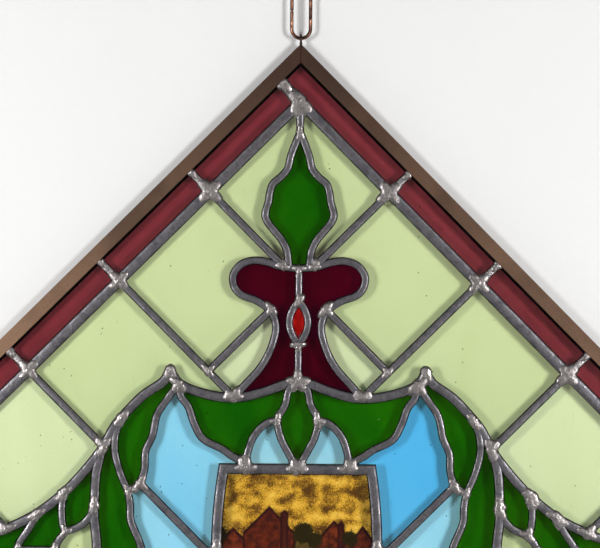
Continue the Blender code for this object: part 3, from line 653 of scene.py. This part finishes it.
corners, faces = [], []
for joint in joints:
    arms, widest = [], 0
    for lead in leads:
        off, ways = tangents(joint, lead)
        if off * HALF_CELL < JOINED_WITHIN:
            arms += ways
            widest = max(widest, lead["face"])
    reach, stray = widest / 2 * dice.uniform(1.3, 1.65), dice.uniform(0, 100)
    for front in (-1, 1):
        first = len(corners)
        corners.append(on_panel(joint.x, joint.y, front * SOLDER_MIDDLE))
        for ring in range(1, RINGS + 2):
            share = min(ring, RINGS) / RINGS
            for spoke in range(SPOKES):
                turn = 2 * math.pi * spoke / SPOKES
                way = Vector((math.cos(turn), math.sin(turn)))
                along = max([0] + [way.dot(arm) for arm in arms])
                lumpy = 1 + LUMPINESS * noise.noise((way.x * 1.4 + stray, way.y * 1.4, front))
                radius = reach * lumpy * (0.94 + ALONG_LEADS * along**6) * share
                x, z = joint * HALF_CELL + way * radius
                fall = 1 - share**3
                pebbled = noise.noise((x * PEBBLES, z * PEBBLES, stray)) * PEBBLE_HEIGHT * fall
                height = SOLDER_EDGE + SOLDER_RISE * fall**0.6 + pebbled
                corners.append((x, front * (height if ring <= RINGS else SOLDER_FOOT), MIDDLE + z))
        for spoke in range(SPOKES):
            beside = (spoke + 1) % SPOKES
            faces.append([first, first + 1 + spoke, first + 1 + beside])
            for ring in range(RINGS):
                here, there = first + 1 + ring * SPOKES, first + 1 + (ring + 1) * SPOKES
                faces.append([here + spoke, there + spoke, there + beside, here + beside])
        faces.append([first + 1 + RINGS * SPOKES + spoke for spoke in range(SPOKES)])
solder = piece_of("solder_joints", corners, faces, solder_bright, smooth_angle=75)


# The panel is bound by four lengths of folded brass channel, mitred at the corners and browned by age. Its colour
# is darkest at the top corner and lighter lower down, more so on the left: a painted shade, since the lamps light the
# top corner and the right-hand side less.

FOLD_RADIUS = 0.00022
WELD_GAP = 0.00001

browned, tree = fresh_material("browned_channel_with_painted_shade")
skin = shader_node(tree, "Group", {
    "Bright": painted(122, 94, 73), "Dull": painted(97, 74, 57), "Grime": painted(58, 40, 32),
    "Patches": 22.0, "Grain": 800.0, "Smoothest": 0.38, "Roughest": 0.55,
}, node_tree=metal_skin)
place = shader_node(tree, "SeparateXYZ", {0: shader_node(tree, "TexCoord").outputs["Object"]}).outputs
# Painted shade: the colour is darkened towards the top corner and on the right-hand side, where less lamp light
# falls.
painted_shade_right = stretched(tree, place["X"], 0.02, 0.12, 0.0, 0.5)
painted_shade_mask = reckoned(tree, "MAXIMUM", stretched(tree, place["Z"], -0.30, -0.09), painted_shade_right)
darkened = tinted(tree, 1.0, skin.outputs["Color"], painted(142, 126, 121), way="MULTIPLY")
bump = shader_node(tree, "Bump", {"Strength": 0.5, "Distance": 0.00003, "Height": skin.outputs["Height"]})
shader = shader_node(tree, "BsdfPrincipled", {
    "Base Color": tinted(tree, painted_shade_mask, skin.outputs["Color"], darkened), "Roughness": skin.outputs["Roughness"],
    "Metallic": 0.7, "Normal": bump.outputs[0],
})
tree.links.new(shader.outputs[0], shader_node(tree, "OutputMaterial").inputs["Surface"])
dress("browned_brass", browned)
for side in ("upper_left", "upper_right", "lower_left", "lower_right"):
    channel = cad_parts["frame_" + side]
    channel.modifiers.new("welded", "WELD").merge_threshold = WELD_GAP
    eased_edges = channel.modifiers.new("eased_edges", "BEVEL")
    eased_edges.width, eased_edges.segments, eased_edges.angle_limit = FOLD_RADIUS, 2, math.radians(40)


# The panel hangs by a turned wire eye in its top corner, and by two long links of copper wire. Each link is bent
# from one piece, with its ends butted and left unsoldered half-way up one side.

SIDE_SPOTS, BEND_SPOTS = 14, 20
BUTT_GAP, NEXT_TO_GAP = 0.00018, 0.0006
EYE_WIRE, SHANK, HEAD, HEAD_THICKNESS = 0.0008, 0.001, 0.0017, 0.001
SHANK_IN_HEAD, TURNED_EDGE, EDGE_SHARE = 0.0001, 0.00015, 0.86
TURNED_SIDES = 24

copper = metal(
    "aged_copper_wire", painted(134, 94, 76), painted(52, 33, 27), painted(20, 12, 10), patches=240.0, grain=1200.0,
    smoothest=0.18, roughest=0.42, relief=0.00003,
)
dark_wire = metal(
    "dark_wire", painted(96, 72, 62), painted(48, 34, 32), painted(18, 14, 14), patches=300.0, grain=1500.0,
    smoothest=0.3, roughest=0.5,
)


def wire_tube(corners, faces, line, radius, closed=False, sides=16):
    """A round wire along a line of points, rounded over at its ends."""
    first, rings = len(corners), len(line)
    flat = (line[len(line) // 2] - line[0]).cross(line[len(line) // 4] - line[0]).normalized()
    for i, spot in enumerate(line):
        ahead = line[(i + 1) % rings] if closed or i + 1 < rings else spot
        behind = line[i - 1] if closed or i > 0 else spot
        out = (ahead - behind).normalized().cross(flat)
        ends = 0.72 if not closed and i in (0, rings - 1) else 1
        for side in range(sides):
            turn = 2 * math.pi * side / sides
            corners.append(spot + (out * math.cos(turn) + flat * math.sin(turn)) * radius * ends)
    for i in range(rings if closed else rings - 1):
        here, there = first + i * sides, first + (i + 1) % rings * sides
        faces.extend([here + j, here + (j + 1) % sides, there + (j + 1) % sides, there + j] for j in range(sides))
    if not closed:
        faces.append(list(range(first, first + sides)))
        faces.append(list(range(first + (rings - 1) * sides, first + rings * sides)))


for node, level_way in (("chain_link_lower", Vector((1, 0, 0))), ("chain_link_upper", Vector((0, 1, 0)))):
    low, high = (Vector(corner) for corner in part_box(node))
    size = high - low
    wire = min(size) / 2
    bend = max(size.x, size.y) / 2 - wire
    straight = size.z / 2 - wire - bend
    middle = (low + high) / 2
    rising = [NEXT_TO_GAP] + [straight * i / SIDE_SPOTS for i in range(1, SIDE_SPOTS)]
    bends = [math.pi * i / BEND_SPOTS for i in range(BEND_SPOTS)]
    outline = [(-bend, z) for z in [0.0] + rising]
    outline += [(-bend * math.cos(turn), straight + bend * math.sin(turn)) for turn in bends]
    outline += [(bend, straight * (1 - i / SIDE_SPOTS)) for i in range(2 * SIDE_SPOTS)]
    outline += [(bend * math.cos(turn), -straight - bend * math.sin(turn)) for turn in bends]
    outline += [(-bend, -straight)] + [(-bend, -z) for z in reversed([BUTT_GAP] + rising)]
    corners, faces = [], []
    wire_tube(corners, faces, [middle + level_way * x + Vector((0, 0, z)) for x, z in outline], wire)
    link = piece_of("bent_" + node, corners, faces, copper, smooth_angle=45)
    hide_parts(node)

low, high = (Vector(corner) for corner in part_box("hanging_eye"))
ring_radius = (high.y - low.y) / 2 - EYE_WIRE
ring_middle = Vector((0, 0, high.z - EYE_WIRE - ring_radius))
corners, faces = [], []
turns = [math.pi * i / BEND_SPOTS for i in range(2 * BEND_SPOTS)]
ring_line = [ring_middle + Vector((0, math.sin(turn), math.cos(turn))) * ring_radius for turn in turns]
wire_tube(corners, faces, ring_line, EYE_WIRE, closed=True)
shank_top, head_top = ring_middle.z - ring_radius, low.z + HEAD_THICKNESS
for radius, top, bottom in ((SHANK, shank_top, head_top - SHANK_IN_HEAD), (HEAD, head_top, low.z)):
    first = len(corners)
    for z, share in (
        (top, EDGE_SHARE), (top - TURNED_EDGE, 1), (bottom + TURNED_EDGE, 1), (bottom, EDGE_SHARE),
    ):
        for i in range(TURNED_SIDES):
            turn = 2 * math.pi * i / TURNED_SIDES
            corners.append((radius * share * math.cos(turn), radius * share * math.sin(turn), z))
    for band in range(3):
        here, there = first + band * TURNED_SIDES, first + (band + 1) * TURNED_SIDES
        for i in range(TURNED_SIDES):
            beside = (i + 1) % TURNED_SIDES
            faces.append([here + i, here + beside, there + beside, there + i])
    last = first + 3 * TURNED_SIDES
    faces += [list(range(first, first + TURNED_SIDES)), list(range(last, last + TURNED_SIDES))]
eye = piece_of("turned_eye", corners, faces, dark_wire, smooth_angle=45)
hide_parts("hanging_eye")


# Plain pale wall close behind the panel and a plain pale floor below it, both only there to show the panel. The wall
# is seen through from behind, so that the back of the panel shows too.

FLOOR_LEVEL, WALL_TOP = -1.05, 0.7
ROOM_HALF_WIDTH, FLOOR_REACH = 1.6, 1.8


def wall_behind(x, z):
    """The wall behind a place on the panel: the panel hangs a little further off it to the right and lower down."""
    return (x, 0.0116 + 0.013 * x - 0.003 * (z + 0.24), z)


chalky, tree = fresh_material("plain_wall_paint")
brush_marks = mottle(tree, shader_node(tree, "TexCoord").outputs["Object"], 220.0, detail=4.0)
bump = shader_node(tree, "Bump", {"Strength": 0.3, "Distance": 0.0001, "Height": brush_marks})
matt = shader_node(tree, "BsdfPrincipled", {
    "Base Color": tinted(tree, brush_marks, (0.90, 0.90, 0.895, 1), (0.92, 0.92, 0.915, 1)), "Roughness": 0.9,
    "Specular IOR Level": 0.1, "Normal": bump.outputs[0],
})
see_through = shader_node(tree, "BsdfTransparent")
from_behind = shader_node(tree, "NewGeometry").outputs["Backfacing"]
unshaded = reckoned(tree, "MAXIMUM", from_behind, shader_node(tree, "LightPath").outputs["Is Shadow Ray"])
both = shader_node(tree, "MixShader", {0: unshaded, 1: matt.outputs[0], 2: see_through.outputs[0]})
tree.links.new(both.outputs[0], shader_node(tree, "OutputMaterial").inputs["Surface"])

backdrop = bpy.data.meshes.new("wall_and_floor")
left, right, near, far = -ROOM_HALF_WIDTH, ROOM_HALF_WIDTH, -FLOOR_REACH, FLOOR_REACH
backdrop.from_pydata(
    [wall_behind(left, FLOOR_LEVEL), wall_behind(right, FLOOR_LEVEL), wall_behind(right, WALL_TOP),
     wall_behind(left, WALL_TOP), (left, near, FLOOR_LEVEL), (right, near, FLOOR_LEVEL), (right, far, FLOOR_LEVEL),
     (left, far, FLOOR_LEVEL)],
    [], [[0, 1, 2, 3], [4, 5, 6, 7]],
)
backdrop.materials.append(chalky)
stand_in_room = bpy.data.objects.new("wall_and_floor", backdrop)
bpy.context.scene.collection.objects.link(stand_in_room)


# Two soft lamps stand level with the panel, one to each side, so every lead throws a shadow to its left and to its
# right on the wall. Both are turned outwards and fade towards the far side. A weak third one lights the back, and
# the room gives an even glow.

for name, spot, aim, power, breadth, fan in (
    ("left_lamp", (-1.24, -2.5, -0.20), (-1.60, 0, -0.24), 30.4, 0.6, 85),
    ("right_lamp", (1.30, -2.5, -0.20), (1.52, 0, -0.24), 28.3, 0.6, 85),
    ("back_lamp", (0.5, 1.6, 0.3), (0, 0, -0.28), 17.0, 0.8, 180),
):
    lamp = bpy.data.lights.new(name, "AREA")
    lamp.energy, lamp.size, lamp.spread = power, breadth, math.radians(fan)
    stand = bpy.data.objects.new(name, lamp)
    stand.location = spot
    stand.rotation_euler = (Vector(aim) - Vector(spot)).to_track_quat("-Z", "Y").to_euler()
    stand.visible_camera = stand.visible_transmission = False
    bpy.context.scene.collection.objects.link(stand)

GLOW_SEEN, GLOW_GIVEN = 0.75, 0.05

room = bpy.data.worlds.new("pale_room")
bpy.context.scene.world = room
room.use_nodes = True
tree = room.node_tree
tree.nodes.clear()
rays = shader_node(tree, "LightPath")
bounced = stretched(tree, rays.outputs["Diffuse Depth"], 0.0, 1.0)
straight = reckoned(tree, "SUBTRACT", rays.outputs["Is Transmission Ray"], bounced, clamp=True)
looked_at = reckoned(tree, "MAXIMUM", rays.outputs["Is Camera Ray"], straight)
glow = reckoned(tree, "ADD", reckoned(tree, "MULTIPLY", looked_at, GLOW_SEEN), GLOW_GIVEN)
background = shader_node(tree, "Background", {"Color": (1, 0.995, 0.985, 1), "Strength": glow})
tree.links.new(background.outputs[0], shader_node(tree, "OutputWorld").inputs["Surface"])
bpy.context.scene.view_settings.view_transform = "Standard"
bpy.context.scene.view_settings.look = "None"


# A long lens looks straight at the wall from far off and takes in the upper half of the panel. The camera leans by
# half a degree.

VIEW_WIDTH = 0.4196
STAND_OFF = 4.0
LEAN = -0.0086

camera = bpy.data.cameras.new("camera")
camera.sensor_width = 36.0
camera.lens = camera.sensor_width * STAND_OFF / VIEW_WIDTH
tripod = bpy.data.objects.new("camera", camera)
tripod.location = (0.0007, -STAND_OFF, MIDDLE + 0.1944)
tripod.rotation_euler = (math.pi / 2, LEAN, 0)
bpy.context.scene.collection.objects.link(tripod)
bpy.context.scene.camera = tripod
